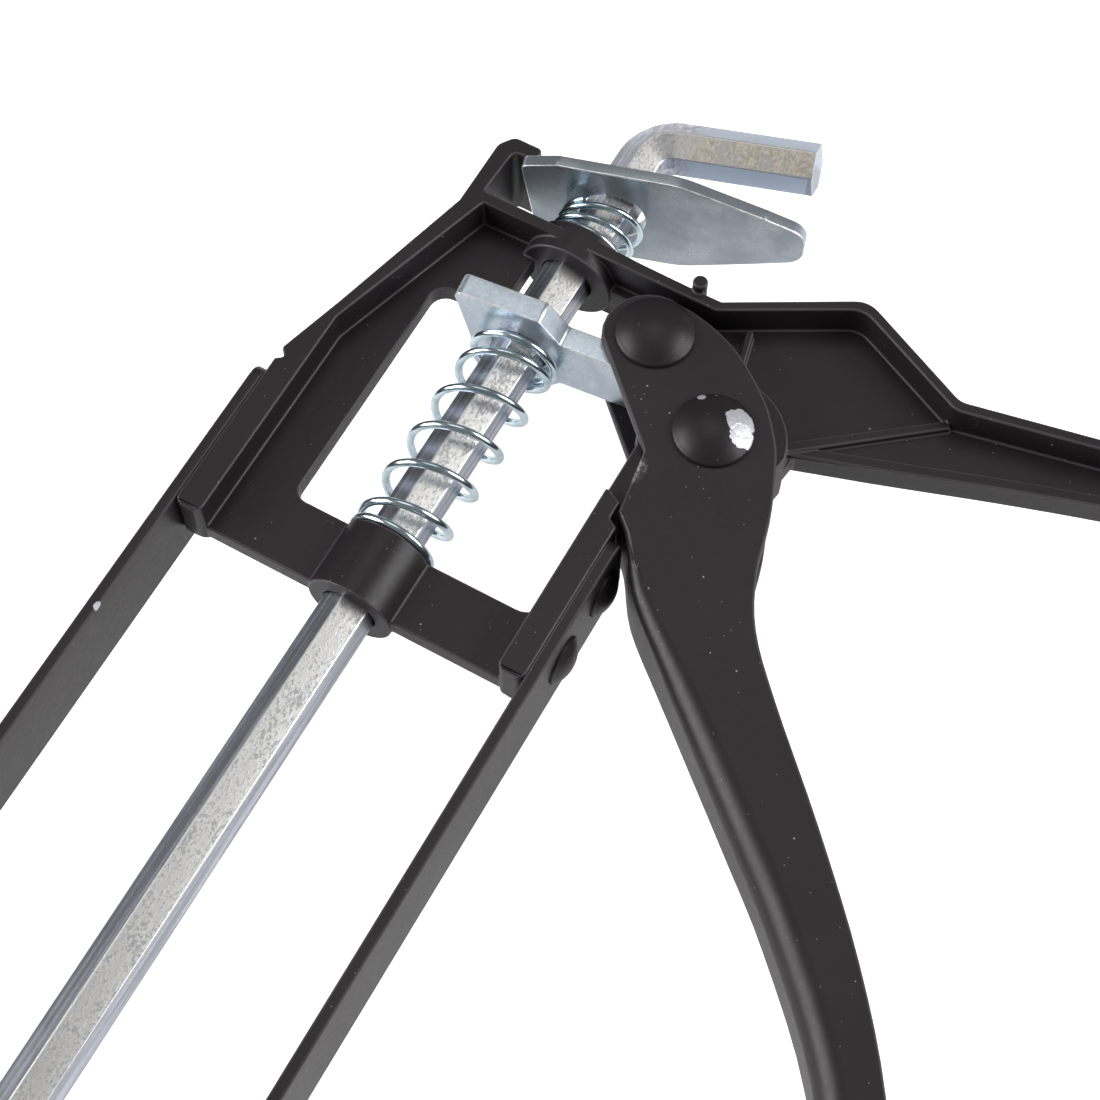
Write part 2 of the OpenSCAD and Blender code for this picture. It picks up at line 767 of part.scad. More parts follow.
module drive_plate() {
    tongue_end = (pin.y + 1.6) / cos(drive_lean);
    half = drive_h / 2;
    color(zinc)
        translate([drive_x, 0, 0])
            rotate([0, 0, drive_lean])
                rotate([90, 0, -90])
                    difference() {
                        linear_extrude(height = drive_t)
                            mirror([1, 0])
                                polygon(rounded([
                                    [drive_slant - drive_left, -half, 1.6], [3, -half, 0.8],
                                    [tongue_y, -tongue_h / 2, 0.8],
                                    [tongue_end, -tongue_h / 2, 1], [tongue_end, tongue_h / 2, 1],
                                    [tongue_y, tongue_h / 2, 0.8], [3, half, 0.8],
                                    [-drive_left, half, 1.2]]));
                        cylinder(d = drive_hole, h = through, center = true, $fn = round_fn);
                    }
}

// Where the catch plate's rear face meets the arch's lip
catch_at = [arch_x + arch_wall + rest_gap, arch_lip];
// Where its front face crosses the rod's axis
catch_front_x = catch_at.x + catch_t / cos(catch_lean) + catch_at.y * tan(catch_lean);
catch_hole_at = -catch_at.y / cos(catch_lean) - 0.25;
catch_hole_room = 1.9;
catch_hole = rod_across + 2 * bore_gap + catch_hole_room;
catch_sag = 0.5;                // how far it hangs down on the rod

module catch_plate() {
    half = catch_h / 2;
    end = catch_len;
    color(zinc)
        translate([catch_at.x, catch_at.y, -catch_sag])
            rotate([0, 0, catch_lean])
                rotate([90, 0, 90])
                    difference() {
                        linear_extrude(height = catch_t)
                            polygon(rounded([
                                [-1.8, half - 1.6, 1.2], [0.8, -half + 1, 2], [4, -half, 3], [23, -half, 14],
                                [end - 6.4, -half + 4.4, 9], [end, -3.4, 3.4],
                                [end, 3.4, 3.4], [end - 6.4, half - 4.4, 9],
                                [22, half, 14], [3.6, half, 3]]));
                        translate([catch_hole_at, 0, 0])
                            cylinder(d = catch_hole, h = through, center = true, $fn = round_fn);
                    }
}

// ---- springs -------------------------------------------------------------

module return_spring() {
    back = drive_x + (return_wire / 2 + rest_gap) / cos(drive_lean);
    color(zinc)
        coil(back, front_boss_back - return_wire / 2 - rest_gap, return_d, return_wire,
             return_turns, 1, 0.6, 220, drive_lean);
}

module catch_spring() {
    back = catch_front_x + (catch_wire / 2 + rest_gap) / cos(catch_lean);
    color(zinc)
        coil(back, rear_boss_back - catch_wire / 2 - rest_gap, catch_d, catch_wire,
             catch_turns, 0.4, 0.5, 300, catch_lean);
}

handle_casting();
left_rail();
right_rail();
left_rail_rivets();
right_rail_rivets();
nozzle_plate();
left_tab_rivets();
right_tab_rivets();
push_rod();
push_plate();
plate_washer();
plate_nut();
trigger();
drive_pin();
pivot_rivet();
drive_plate();
return_spring();
catch_plate();
catch_spring();
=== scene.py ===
import math

import bmesh
import bpy
import numpy as np
from bpy.props import FloatProperty, FloatVectorProperty, PointerProperty
from mathutils import Matrix, Vector
from mathutils.bvhtree import BVHTree


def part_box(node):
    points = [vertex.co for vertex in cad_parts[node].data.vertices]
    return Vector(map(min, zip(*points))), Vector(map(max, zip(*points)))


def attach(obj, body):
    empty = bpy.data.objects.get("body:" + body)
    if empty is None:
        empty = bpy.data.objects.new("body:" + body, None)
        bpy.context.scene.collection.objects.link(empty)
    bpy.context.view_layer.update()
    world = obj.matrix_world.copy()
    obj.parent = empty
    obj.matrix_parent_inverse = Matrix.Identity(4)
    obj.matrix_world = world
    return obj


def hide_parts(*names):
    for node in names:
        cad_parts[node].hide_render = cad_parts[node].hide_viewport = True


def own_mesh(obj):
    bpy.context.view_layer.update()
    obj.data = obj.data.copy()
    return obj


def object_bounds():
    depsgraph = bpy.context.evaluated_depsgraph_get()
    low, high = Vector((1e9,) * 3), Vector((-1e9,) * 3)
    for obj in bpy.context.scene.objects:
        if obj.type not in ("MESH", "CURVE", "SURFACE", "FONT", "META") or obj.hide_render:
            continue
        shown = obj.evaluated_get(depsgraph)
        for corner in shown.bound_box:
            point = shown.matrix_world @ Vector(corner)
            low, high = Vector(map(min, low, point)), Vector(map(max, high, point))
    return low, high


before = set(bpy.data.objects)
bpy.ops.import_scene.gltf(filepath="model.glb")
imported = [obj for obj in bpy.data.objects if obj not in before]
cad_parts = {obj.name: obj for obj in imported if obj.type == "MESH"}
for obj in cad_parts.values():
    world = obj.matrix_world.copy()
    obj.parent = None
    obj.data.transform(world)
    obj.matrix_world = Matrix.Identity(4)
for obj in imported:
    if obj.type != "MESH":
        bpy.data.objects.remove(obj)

bl_info = {
    "name": "Caulking Gun",
    "version": (1, 0, 0),
    "blender": (4, 5, 0),
    "location": "3D View > Sidebar > Caulking Gun",
    "description": "Builds the finished look of an open-frame caulking gun on its fixed frame",
    "category": "Add Mesh",
}

MM = 0.001
WHITE = (1.0, 1.0, 1.0)
BARE_STEEL = (0.42, 0.39, 0.38)
CHIP_ZINC = (0.78, 0.80, 0.86)
CHIP_SHADE = (0.62, 0.63, 0.66)
HOOK_SIDE = (0.50, 0.56, 0.66)
CUT_END = (0.33, 0.37, 0.44)
# Painted highlight on the push rod's rounded arrises.
ROD_ARRIS_HIGHLIGHT = (0.90, 0.90, 0.91)
PLATE_SPECK = (0.75, 0.76, 0.78)
PLATE_BURR_HIGHLIGHT = (0.93, 0.95, 0.97)
# Painted highlight on the grip plates' rounded punched edges.
WIRE_SHADE = (0.50, 0.62, 0.68)
CAD_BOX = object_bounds()


# ---- sizes and colours a user would change ---------------------------------

def length(name, text, default):
    return FloatProperty(name=name, description=text, default=default * MM, unit="LENGTH")


def colour(name, text, default):
    return FloatVectorProperty(name=name, description=text, default=default, size=3,
                               min=0.0, max=1.0, subtype="COLOR")


def share(name, text, default):
    return FloatProperty(name=name, description=text, default=default, min=0.0, max=1.0,
                         subtype="FACTOR")


class GunSizes(bpy.types.PropertyGroup):
    cast_edge: length("Casting edge", "Radius of the casting's arrises and its rims' fillets", 0.28)
    strap_edge: length("Strap edge", "Radius of the rails' and the nozzle plate's arrises", 0.3)
    cheek_edge: length("Cheek edge", "Radius of the trigger's cut edges", 0.35)
    fold_edge: length("Fold radius", "Outer radius of the folds along the trigger's front", 4.3)
    rod_edge: length("Rod edge", "Radius of the hexagon rod's arrises", 0.22)
    plate_edge: length("Plate edge", "Width of the burr along the grip plates' punched edges", 0.22)


class GunColours(bpy.types.PropertyGroup):
    coat: colour("Coat", "Powder coat on the frame and the trigger", (0.020, 0.0152, 0.0182))
    # Painted highlight: a lighter coat colour on the rounded arrises.
    coat_edge_highlight: colour("Coat edge", "Painted highlight on the powder coat along an arris", (0.095, 0.083, 0.091))
    dust: colour("Dust", "Dust grains in the powder coat", (0.36, 0.33, 0.33))
    rod: colour("Rod", "Bright zinc on the push rod", (0.88, 0.87, 0.85))
    rod_dark: colour("Rod mottle", "Dull spots in the rod's zinc", (0.36, 0.36, 0.38))
    # The rod's side faces: real drawing streaks over a darker grey that is painted shade.
    rod_side_shaded: colour("Rod side", "Streaky grey on the rod's side faces", (0.36, 0.37, 0.42))
    rod_warm: colour("Rod passivate", "Yellowish film on the hook", (0.76, 0.69, 0.58))
    plate: colour("Plate", "Zinc on the grip plates", (0.68, 0.76, 0.83))
    plate_dark: colour("Plate mottle", "Dull patches in the plates' zinc", (0.52, 0.58, 0.66))
    wire: colour("Spring wire", "Bright zinc on both springs", (0.72, 0.84, 0.90))
    floor: colour("Floor", "Pale floor under the gun", (0.90, 0.90, 0.90))
    coat_gloss: share("Coat roughness", "Roughness of the powder coat", 0.42)
    zinc_gloss: share("Zinc roughness", "Roughness of the plates' zinc", 0.30)


# ---- node trees --------------------------------------------------------------

class Sock:
    """A value in a node tree. Arithmetic on it adds Math nodes."""

    def __init__(self, tree, socket):
        self.tree = tree
        self.socket = socket

    def math(self, operation, *values):
        sockets = {i: v for i, v in enumerate(values)}
        return node(self.tree, "ShaderNodeMath", {"operation": operation}, sockets)

    def __add__(self, other):
        return self.math("ADD", self, other)

    def __radd__(self, other):
        return self.math("ADD", other, self)

    def __sub__(self, other):
        return self.math("SUBTRACT", self, other)

    def __rsub__(self, other):
        return self.math("SUBTRACT", other, self)

    def __mul__(self, other):
        return self.math("MULTIPLY", self, other)

    def __truediv__(self, other):
        return self.math("DIVIDE", self, other)

    def __gt__(self, other):
        return self.math("GREATER_THAN", self, other)

    def __lt__(self, other):
        return self.math("LESS_THAN", self, other)


def node(tree, kind, settings=None, sockets=None, out=0):
    """Adds a node of any kind: its settings first, then the values or links of its sockets."""
    n = tree.nodes.new(kind)
    for key, value in (settings or {}).items():
        setattr(n, key, value)
    for key, value in (sockets or {}).items():
        if isinstance(value, Sock):
            tree.links.new(value.socket, n.inputs[key])
        elif isinstance(n.inputs[key].default_value, (int, float, str, bool)) or value is None:
            n.inputs[key].default_value = value
        elif isinstance(value, bpy.types.ID):
            n.inputs[key].default_value = value
        else:
            n.inputs[key].default_value = tuple(value)
    return Sock(tree, n.outputs[out])


def rgba(c):
    return (*c, 1.0)


def ramp(tree, value, low, high):
    """0 below low and 1 above high, with a smooth rise between."""
    return node(tree, "ShaderNodeMapRange", {"interpolation_type": "SMOOTHSTEP"},
                {"Value": value, "From Min": low, "From Max": high})


def blend(tree, factor, a, b):
    """Colour a where factor is 0 and b where it is 1."""
    return node(tree, "ShaderNodeMix", {"data_type": "RGBA"}, {0: factor, 6: a, 7: b}, 2)


def noise(tree, place, scale, detail=2.0, rough=0.5, stretch=(1, 1, 1)):
    where = place
    if stretch != (1, 1, 1):
        where = node(tree, "ShaderNodeMapping", {}, {"Vector": place, "Scale": stretch})
    return node(tree, "ShaderNodeTexNoise", {}, {"Vector": where, "Scale": scale, "Detail": detail,
                                                 "Roughness": rough})


def grains(tree, place, per_metre, size, keep):
    """Round grains of that size, scattered: keep is the share of the cells that hold one."""
    def cells(out):
        return node(tree, "ShaderNodeTexVoronoi", {"feature": "F1"},
                    {"Vector": place, "Scale": per_metre, "Randomness": 1.0}, out)
    lot = node(tree, "ShaderNodeSeparateColor", {}, {0: cells(1)})
    near = 1.0 - ramp(tree, cells(0), size * per_metre * 0.5, size * per_metre)
    return near * (lot < keep)


def spot(tree, place, centre, radius, ragged, scale, soft=0.12):
    """1 inside a ragged patch round centre."""
    apart = node(tree, "ShaderNodeVectorMath", {"operation": "DISTANCE"}, {0: place, 1: centre}, 1)
    torn = (noise(tree, place, scale, 3.0, 0.6) - 0.5) * (2 * ragged)
    return 1.0 - ramp(tree, apart + torn, radius * (1 - soft), radius * (1 + soft))


def lit(colour_in, rough, metal, bump, distance, glow=0.0, shine=0.5):
    """Finishes a material from its colour, roughness, metallic and bump height."""
    tree = colour_in.tree
    relief = node(tree, "ShaderNodeBump", {}, {"Strength": 1.0, "Distance": distance, "Height": bump})
    shader = node(tree, "ShaderNodeBsdfPrincipled", {}, {
        "Base Color": colour_in, "Roughness": rough, "Metallic": metal, "Normal": relief,
        "Emission Color": rgba(WHITE), "Emission Strength": glow, "Specular IOR Level": shine})
    tree.links.new(shader.socket, tree.nodes.new("ShaderNodeOutputMaterial").inputs["Surface"])


def new_material(name):
    mat = bpy.data.materials.new(name)
    mat.use_nodes = True
    mat.node_tree.nodes.clear()
    return mat, mat.node_tree, node(mat.node_tree, "ShaderNodeTexCoord", {}, {}, 3)


def edge_mask(tree):
    return node(tree, "ShaderNodeAttribute", {"attribute_name": "edge"}, {}, 2)


def coat_material(name, colours, chips=(), wear_and_sheen=()):
    """Satin powder coat: fine texture, dust grains, a painted highlight on the rounded arrises, and
    chips down to the zinc.
    """
    mat, tree, place = new_material(name)
    cloud = noise(tree, place, 45.0, 3.0)
    fine = noise(tree, place, 1400.0, 2.0)
    pebble = noise(tree, place, 520.0, 2.0, 0.6)
    specks = grains(tree, place, 760.0, 0.12 * MM, 0.42) * 0.5
    big = grains(tree, place, 400.0, 0.18 * MM, 0.36)
    deep = tuple(c * 0.72 for c in colours.coat)
    tone = blend(tree, ramp(tree, cloud, 0.35, 0.65), rgba(deep), rgba(colours.coat))
    # Painted highlight: the rounded arrises (attribute "edge") get the lighter coat colour, broken up by
    # cloud noise.
    tone = blend(tree, edge_mask(tree) * (0.45 + ramp(tree, cloud, 0.3, 0.7) * 0.3), tone,
                 rgba(colours.coat_edge_highlight))
    tone = blend(tree, specks, tone, rgba(colours.dust))
    tone = blend(tree, big * 0.9, tone, rgba(colours.dust))
    rough = colours.coat_gloss + (cloud - 0.5) * 0.12 + (fine - 0.5) * 0.16
    height = pebble * 0.6 + fine * 0.5 + specks * 0.8 + big * 1.4
    metal = 0.0
    for centre, radius in wear_and_sheen:
        patch = spot(tree, place, centre, radius, radius * 0.5, 420.0, 0.3)
        pepper = ramp(tree, noise(tree, place, 1900.0, 2.0, 0.7), 0.42, 0.6)
        tone = blend(tree, patch * (pepper * 0.7 + 0.12), tone, rgba(BARE_STEEL))
        rough = rough + patch * 0.25
    for centre, radius in chips:
        patch = spot(tree, place, centre, radius, min(radius * 0.6, 0.9 * MM), 480.0, 0.04)
        dull_and_shade = noise(tree, place, 900.0, 3.0, 0.6)
        zinc = blend(tree, ramp(tree, dull_and_shade, 0.35, 0.7), rgba(CHIP_ZINC), rgba(CHIP_SHADE))
        tone = blend(tree, patch, tone, zinc)
        rough = rough + patch * 0.05
        metal = metal + patch * 0.55
        height = height - patch * 2.2
    lit(tone, rough, metal, height, 0.02 * MM, shine=0.42)
    return mat


def rod_material(name, colours, hook_start, tip):
    """Sparkling mottled zinc on the broad faces, grey drawing streaks on the sides, and a warm
    film on the hook. The side faces are painted darker than the broad faces: painted shade.
    The rounded arrises get a painted highlight. The attribute "broad" tells the faces apart."""
    mat, tree, place = new_material(name)
    broad = node(tree, "ShaderNodeAttribute", {"attribute_name": "broad"}, {}, 2)
    pepper = noise(tree, place, 2300.0, 3.0, 0.75, (0.7, 1, 1))
    blotch = noise(tree, place, 420.0, 3.0, 0.6, (0.5, 1, 1))
    streak = noise(tree, place, 1500.0, 3.0, 0.6, (0.02, 1, 1))
    spots = ramp(tree, pepper + (blotch - 0.5) * 0.5, 0.46, 0.62)
    x = node(tree, "ShaderNodeSeparateXYZ", {}, {0: place})
    y = node(tree, "ShaderNodeSeparateXYZ", {}, {0: place}, 1)
    behind = 1.0 - ramp(tree, x, hook_start - 4 * MM, hook_start)
    on_arm = behind * ramp(tree, y, 4 * MM, 8 * MM)
    film = on_arm * ramp(tree, blotch, 0.3, 0.6)
    top = blend(tree, film, rgba(colours.rod), rgba(colours.rod_warm))
    top = blend(tree, spots * (0.85 - on_arm * 0.5), top, rgba(colours.rod_dark))
    line = ramp(tree, streak + (pepper - 0.5) * 0.3, 0.38, 0.68)
    # Painted shade: the side faces, also on the hook's arm, get darker colours than the broad faces.
    side = blend(tree, line, rgba(colours.rod_side_shaded), rgba(tuple(c * 1.9 for c in colours.rod_side_shaded)))
    side = blend(tree, on_arm, side, rgba(HOOK_SIDE))
    side = blend(tree, ramp(tree, y, tip - 0.5 * MM, tip - 0.2 * MM), side, rgba(CUT_END))
    tone = blend(tree, broad, side, top)
    # Painted highlight: the rod's rounded arrises are made lighter.
    tone = blend(tree, edge_mask(tree) * 0.55, tone, rgba(ROD_ARRIS_HIGHLIGHT))
    rough = 0.34 + spots * broad * 0.2 + (blotch - 0.5) * 0.1
    lit(tone, rough, 0.9, pepper * 0.8 + blotch * 0.3 + streak * 0.4, 0.035 * MM)
    return mat


def plate_material(name, colours, shade, dull_and_shade=None):
    """Smooth bluish zinc with faint clouds, fine scratches and a painted highlight on the rounded
    punched edges. Its colours are scaled by shade, and painted shade darkens a patch round the point
    given last."""
    mat, tree, place = new_material(name)
    cloud = noise(tree, place, 190.0, 4.0, 0.6)
    fine = noise(tree, place, 1600.0, 3.0, 0.65)
    scratch = noise(tree, place, 700.0, 2.0, 0.5, (1, 0.05, 1))
    marks = grains(tree, place, 420.0, 0.12 * MM, 0.3)
    # shade scales the zinc's colours; below 1 it is painted shade.
    light, dark = (tuple(c * shade for c in pair) for pair in (colours.plate, colours.plate_dark))
    tone = blend(tree, ramp(tree, cloud, 0.35, 0.68), rgba(light), rgba(dark))
    tone = blend(tree, ramp(tree, fine, 0.52, 0.75) * 0.35, tone, rgba(tuple(c * 0.6 for c in light)))
    if dull_and_shade:
        # Painted shade: a darker patch round the given point.
        painted_shade_patch = spot(tree, place, dull_and_shade, 12 * MM, 1.5 * MM, 60.0, 0.55)
        tone = blend(tree, painted_shade_patch * 0.55, tone, rgba(tuple(c * 0.45 for c in light)))
    tone = blend(tree, marks * 0.4, tone, rgba(PLATE_SPECK))
    # Painted highlight: the rounded punched edges get a near-white zinc, broken up by noise.
    burr_and_highlight = edge_mask(tree)
    wear_and_sheen = ramp(tree, noise(tree, place, 420.0, 3.0, 0.6), 0.3, 0.6)
    tone = blend(tree, burr_and_highlight * (0.35 + wear_and_sheen * 0.65), tone, rgba(PLATE_BURR_HIGHLIGHT))
    rough = colours.zinc_gloss + (cloud - 0.5) * 0.15 + (fine - 0.5) * 0.14
    lit(tone, rough, 0.85, fine * 0.5 + scratch * 0.5 + cloud * 0.6, 0.03 * MM)
    return mat


def wire_material(name, colours):
    """Bright zinc-plated spring wire with fine drawing marks."""
    mat, tree, place = new_material(name)
    fine = noise(tree, place, 1300.0, 3.0, 0.6)
    cloud = noise(tree, place, 240.0, 3.0, 0.6)
    tone = blend(tree, ramp(tree, cloud, 0.4, 0.7), rgba(colours.wire), rgba(WIRE_SHADE))
    rough = 0.2 + (fine - 0.5) * 0.14 + (cloud - 0.5) * 0.1
    lit(tone, rough, 1.0, fine, 0.012 * MM)
    return mat


def floor_material(name, colours):
    mat, tree, place = new_material(name)
    cloud = noise(tree, place, 3.0, 2.0)
    light = tuple(min(1.0, c * 1.04) for c in colours.floor)
    tone = blend(tree, cloud, rgba(colours.floor), rgba(light))
    seen = node(tree, "ShaderNodeLightPath")
    lit(tone, 0.8, 0.0, cloud, 0.01 * MM, glow=0.38 + seen * 0.5)
    return mat


MATERIALS = {}


def material(key):
    """The finished material of that name, made on first use."""
    if key not in MATERIALS:
        colours = bpy.context.scene.gun_colours
        pivot, pin = middle("pivot_rivet"), middle("drive_pin")
        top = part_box("pivot_rivet")[1].z
        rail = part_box("left_rail")
        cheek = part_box("trigger")
        makers = {
            "coat": lambda: coat_material(key, colours, chips=[
                (Vector((rail[0].x + 43 * MM, rail[1].y, rail[1].z)), 0.7 * MM)]),
            "trigger_coat": lambda: coat_material(key, colours, wear_and_sheen=[
                (Vector((pivot.x + 10.5 * MM, pivot.y - 7.8 * MM, cheek[1].z)), 2.3 * MM)]),
            "rivet_coat": lambda: coat_material(key, colours, chips=[
                (Vector((pivot.x - 2.4 * MM, pivot.y + 3.3 * MM, top - 0.8 * MM)), 2.3 * MM),
                (Vector((pivot.x - 0.6 * MM, pivot.y + 4.2 * MM, top - 1.0 * MM)), 1.9 * MM),
                (Vector((pivot.x - 3.6 * MM, pivot.y - 3.7 * MM, top - 1.6 * MM)), 0.55 * MM)]),
            "rod_zinc": lambda: rod_material(key, colours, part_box("push_rod")[0].x + 14 * MM,
                                             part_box("push_rod")[1].y - 0.8 * MM),
            "plate_zinc": lambda: plate_material(key, colours, 1.0),
            # The catch plate's zinc: the plates' zinc scaled darker as painted shade, with a painted
            # shade patch round the catch spring.
            "catch_zinc_shaded": lambda: plate_material(key, colours, 0.66, middle("catch_spring")),
            "wire_zinc": lambda: wire_material(key, colours),
            "floor": lambda: floor_material(key, colours),
        }
        MATERIALS[key] = makers[key]()
    return MATERIALS[key]


# ---- meshes ------------------------------------------------------------------

def direction(azimuth, elevation):
    return Vector((math.cos(azimuth) * math.cos(elevation),
                   math.sin(azimuth) * math.cos(elevation), math.sin(elevation)))


def middle(name):
    low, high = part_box(name)
    return (low + high) / 2


def link(name, mesh):
    obj = bpy.data.objects.new(name, mesh)
    bpy.context.scene.collection.objects.link(obj)
    return obj


def merged_copy(name, weld=0.0):
    """A copy of a CAD node with its loose triangles joined, its flat faces whole and no tiny edges."""
    obj = link("look_" + name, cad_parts[name].data.copy())
    obj.data.materials.clear()
    bm = bmesh.new()
    bm.from_mesh(obj.data)
    bmesh.ops.remove_doubles(bm, verts=bm.verts, dist=0.002 * MM)
    bmesh.ops.dissolve_degenerate(bm, edges=bm.edges, dist=0.001 * MM)
    bmesh.ops.dissolve_limit(bm, angle_limit=math.radians(0.06), verts=bm.verts, edges=bm.edges)
    for _ in range(3):
        tiny = [e for e in bm.edges if e.calc_length() < weld]
        bmesh.ops.collapse(bm, edges=tiny)
    bmesh.ops.recalc_face_normals(bm, faces=bm.faces)
    bm.to_mesh(obj.data)
    bm.free()
    return obj


def settle(obj):
    """Applies the modifiers of obj, so that it is a plain mesh."""
    shape = obj.evaluated_get(bpy.context.evaluated_depsgraph_get())
    mesh = bpy.data.meshes.new_from_object(shape)
    obj.modifiers.clear()
    obj.data = mesh
    return obj


def bevelled(obj, width, segments, angle=32, weights=False):
    """Rounds the arrises, and marks the rounded faces in the attribute "edge". Corners where
    the rounding overshoots go back to the unrounded surface."""
    obj.data.materials.clear()
    for name in ("flat", "round"):
        obj.data.materials.append(bpy.data.materials.get(name) or bpy.data.materials.new(name))
    obj.data.polygons.foreach_set("material_index", np.zeros(len(obj.data.polygons), np.int32))
    bm = bmesh.new()
    bm.from_mesh(obj.data)
    before = BVHTree.FromBMesh(bm)
    bm.free()
    mod = obj.modifiers.new("edges", "BEVEL")
    mod.width = width
    mod.segments = segments
    mod.limit_method = "WEIGHT" if weights else "ANGLE"
    mod.angle_limit = math.radians(angle)
    mod.use_clamp_overlap = False
    mod.miter_outer = "MITER_ARC"
    mod.material = 1
    mod.harden_normals = False
    settle(obj)
    for v in obj.data.vertices:
        near, _, _, far = before.find_nearest(v.co)
        if far > width * 0.5:
            v.co = near
    index = np.zeros(len(obj.data.polygons), np.int32)
    obj.data.polygons.foreach_get("material_index", index)
    mark = obj.data.attributes.new("edge", "FLOAT", "FACE")
    mark.data.foreach_set("value", index.astype(np.float32))
    obj.data.polygons.foreach_set("material_index", np.zeros(len(index), np.int32))
    obj.data.materials.clear()
    return obj


def smooth(obj, angle=30):
    """Smooth shading that keeps flat faces flat, split at edges sharper than angle."""
    obj.data.shade_smooth()
    obj.data.set_sharp_from_angle(angle=math.radians(angle))
    even = obj.modifiers.new("even", "WEIGHTED_NORMAL")
    even.keep_sharp = True
    return settle(obj)


def finish_piece(obj, body, key, slot, *nodes):
    """Gives obj its material and its body. It stands for those CAD nodes. The argument slot is not used.
    """
    obj.data.materials.clear()
    obj.data.materials.append(material(key))
    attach(obj, body)
    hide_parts(*nodes)


def lathe(profile, sides=64):
    """Closed mesh turned about Z from [radius, height] points, both ends on the axis."""
    bm = bmesh.new()
    rings = []
    for r, z in profile:
        if r < 1e-9:
            rings.append([bm.verts.new((0, 0, z))])
        else:
            rings.append([bm.verts.new((r * math.cos(2 * math.pi * i / sides),
                                        r * math.sin(2 * math.pi * i / sides), z))
                          for i in range(sides)])
    for a, b in zip(rings, rings[1:]):
        for i in range(sides):
            j = (i + 1) % sides
            quad = [a[i % len(a)], a[j % len(a)], b[j % len(b)], b[i % len(b)]]
            bm.faces.new(list(dict.fromkeys(quad)))
    bmesh.ops.recalc_face_normals(bm, faces=bm.faces)
    mesh = bpy.data.meshes.new("turned")
    bm.to_mesh(mesh)
    bm.free()
    return mesh


def dome_profile(r, h, foot):
    """Half section of a rivet head on the plane z = 0, with its shank below."""
    lip = h * 0.16
    ball = (r * r + (h - lip) ** 2) / (2 * (h - lip))
    reach = math.asin(r / ball)
    steps = 14
    cap = [(ball * math.sin(reach * i / steps), h - ball + ball * math.cos(reach * i / steps))
           for i in range(steps)]
    soft = [(r * 0.985, lip * 1.35), (r, lip * 0.9), (r, 0.0)]
    return cap + soft + [(foot[0], 0.0), (foot[0], foot[1]), (0.0, foot[1])]


# ---- geometry nodes ------------------------------------------------------------

def geometry_tree(name, inputs):
    """A geometry tree with named inputs. Returns the tree and a lookup of its input values."""
    tree = bpy.data.node_groups.new(name, "GeometryNodeTree")
    tree.interface.new_socket("Geometry", in_out="INPUT", socket_type="NodeSocketGeometry")
    for label, kind in inputs:
        tree.interface.new_socket(label, in_out="INPUT", socket_type=kind)
    tree.interface.new_socket("Geometry", in_out="OUTPUT", socket_type="NodeSocketGeometry")
    start = tree.nodes.new("NodeGroupInput")
    return tree, lambda label: Sock(tree, start.outputs[label])


def close_tree(tree, shape, stuff):
    """Ends a geometry tree: real meshes, then their material."""
    real = node(tree, "GeometryNodeRealizeInstances", {}, {0: shape})
    done = node(tree, "GeometryNodeSetMaterial", {}, {"Geometry": real, "Material": stuff})
    tree.links.new(done.socket, tree.nodes.new("NodeGroupOutput").inputs[0])


def grow(name, tree, values):
    """Runs a geometry tree with these input values and keeps its result as a plain mesh."""
    obj = link(name, bpy.data.meshes.new(name))
    mod = obj.modifiers.new("build", "NODES")
    mod.node_group = tree
    by_name = {s.name: s.identifier for s in tree.interface.items_tree if s.in_out == "INPUT"}
    for label, value in values.items():
        mod[by_name[label]] = value
    return settle(obj)


def spring_tree():
    """A coil spring along X: close first turns, opening up, and a flat last stretch."""
    numbers = ("Start", "Length", "Radius", "Wire", "Turns", "Close", "Flat", "Shut", "Pitch", "Ease",
               "Lean", "End Angle")
    tree, given = geometry_tree("Coil Spring", [(n, "NodeSocketFloat") for n in numbers]
                                + [("Rings", "NodeSocketInt"), ("Material", "NodeSocketMaterial")])
    line = node(tree, "GeometryNodeMeshLine", {"mode": "OFFSET"}, {"Count": given("Rings")})
    path = node(tree, "GeometryNodeMeshToCurve", {}, {"Mesh": line})
    index = node(tree, "GeometryNodeInputIndex")
    turns = given("Turns")
    t = index / (given("Rings") - 1) * turns

    def rise(u, shut, close):
        past = u - close
        past = past.math("MAXIMUM", past, 0.0)
        eased = past.math("MINIMUM", past, given("Ease"))
        opened = eased * eased / (given("Ease") * 2) + (past - eased)
        return u * shut + opened * (given("Pitch") - shut)

    late = t > turns * 0.5
    x_first = rise(t, given("Shut"), given("Close"))
    x_last = given("Length") - rise(turns - t, 0.0, given("Flat"))
    x = x_first + (x_last - x_first) * late
    angle = (t - turns) * (2 * math.pi) + given("End Angle")
    y = angle.math("COSINE", angle) * given("Radius")
    z = angle.math("SINE", angle) * given("Radius")
    tilt = given("Lean") * (1.0 - x / given("Length"))
    place = node(tree, "ShaderNodeCombineXYZ", {}, {0: given("Start") + x - tilt * y, 1: y, 2: z})
    moved = node(tree, "GeometryNodeSetPosition", {}, {"Geometry": path, "Position": place})
    ring = node(tree, "GeometryNodeCurvePrimitiveCircle", {"mode": "RADIUS"},
                {"Resolution": 14, "Radius": given("Wire") * 0.5})
    tube = node(tree, "GeometryNodeCurveToMesh", {}, {"Curve": moved, "Profile Curve": ring,
                                                     "Fill Caps": True})
    close_tree(tree, tube, given("Material"))
    return tree


